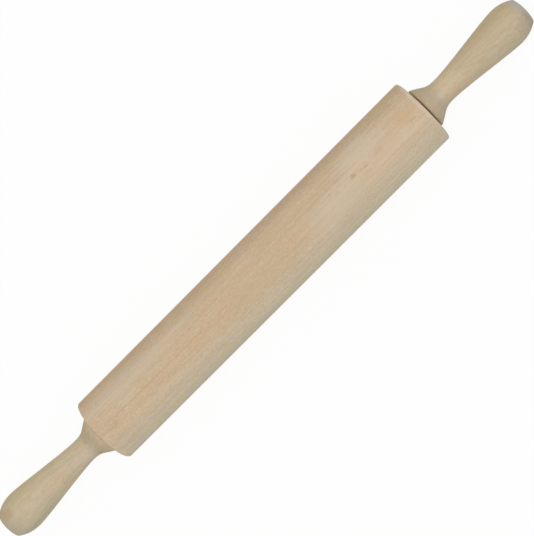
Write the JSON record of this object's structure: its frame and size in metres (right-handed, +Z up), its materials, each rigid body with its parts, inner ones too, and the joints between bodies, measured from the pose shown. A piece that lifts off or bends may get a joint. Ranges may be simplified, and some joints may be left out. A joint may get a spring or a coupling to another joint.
{
  "type": "rolling pin",
  "caption": "Wooden rolling pin with a long straight barrel that turns on ball bearings between two swelling turned handles.",
  "frame": {"origin": "on the spin axis at the middle of the barrel, midway between the two handle tips", "axes": "+X along the spin axis towards the right-hand handle (the upper right one in the picture), +Z up as the pin lies on a worktop, +Y across the barrel"},
  "size_m": [0.4928, 0.0504, 0.0504],
  "materials": {
    "barrel_wood": "bare fine-sanded pale hardwood, pinkish-cream, matte",
    "handle_wood": "bare fine-sanded pale hardwood, slightly more olive than the barrel, matte",
    "axle_steel": "drawn mild steel, fine lengthwise lines",
    "washer_steel": "bright zinc plated",
    "bearing_steel": "ground and polished bearing steel",
    "shield_steel": "pressed thin sheet, satin",
    "cage_nylon": "natural nylon, matte",
    "insert_brass": "turned brass, satin"
  },
  "bodies": {
    "handles": {"axle_rod": "axle_steel", "left_handle": "handle_wood", "left_threaded_insert": "insert_brass", "left_washer": "washer_steel", "right_handle": "handle_wood", "right_threaded_insert": "insert_brass", "right_washer": "washer_steel"},
    "inner_races": {"left_inner_race": "bearing_steel", "right_inner_race": "bearing_steel"},
    "barrel": {"barrel": "barrel_wood", "left_outer_race": "bearing_steel", "left_outer_dust_shield": "shield_steel", "left_inner_dust_shield": "shield_steel", "right_outer_race": "bearing_steel", "right_outer_dust_shield": "shield_steel", "right_inner_dust_shield": "shield_steel"},
    "left_ball_train": {"left_bearing_balls": "bearing_steel", "left_ball_cage": "cage_nylon"},
    "right_ball_train": {"right_bearing_balls": "bearing_steel", "right_ball_cage": "cage_nylon"}
  },
  "joints": [
    {"name": "end_float", "type": "slide", "parent": "handles", "child": "inner_races", "axis": [1, 0, 0], "range_m": [-0.00045, 0.00045]},
    {"name": "barrel_spin", "type": "hinge", "parent": "inner_races", "child": "barrel", "pos_m": [0, 0, 0], "axis": [1, 0, 0], "continuous": true},
    {"name": "left_ball_train_spin", "type": "hinge", "parent": "inner_races", "child": "left_ball_train", "pos_m": [0, 0, 0], "axis": [1, 0, 0], "continuous": true},
    {"name": "right_ball_train_spin", "type": "hinge", "parent": "inner_races", "child": "right_ball_train", "pos_m": [0, 0, 0], "axis": [1, 0, 0], "continuous": true}
  ],
  "couplings": [
    {"joint": "left_ball_train_spin", "follows": "barrel_spin", "ratio": 0.6323},
    {"joint": "right_ball_train_spin", "follows": "barrel_spin", "ratio": 0.6323}
  ]
}
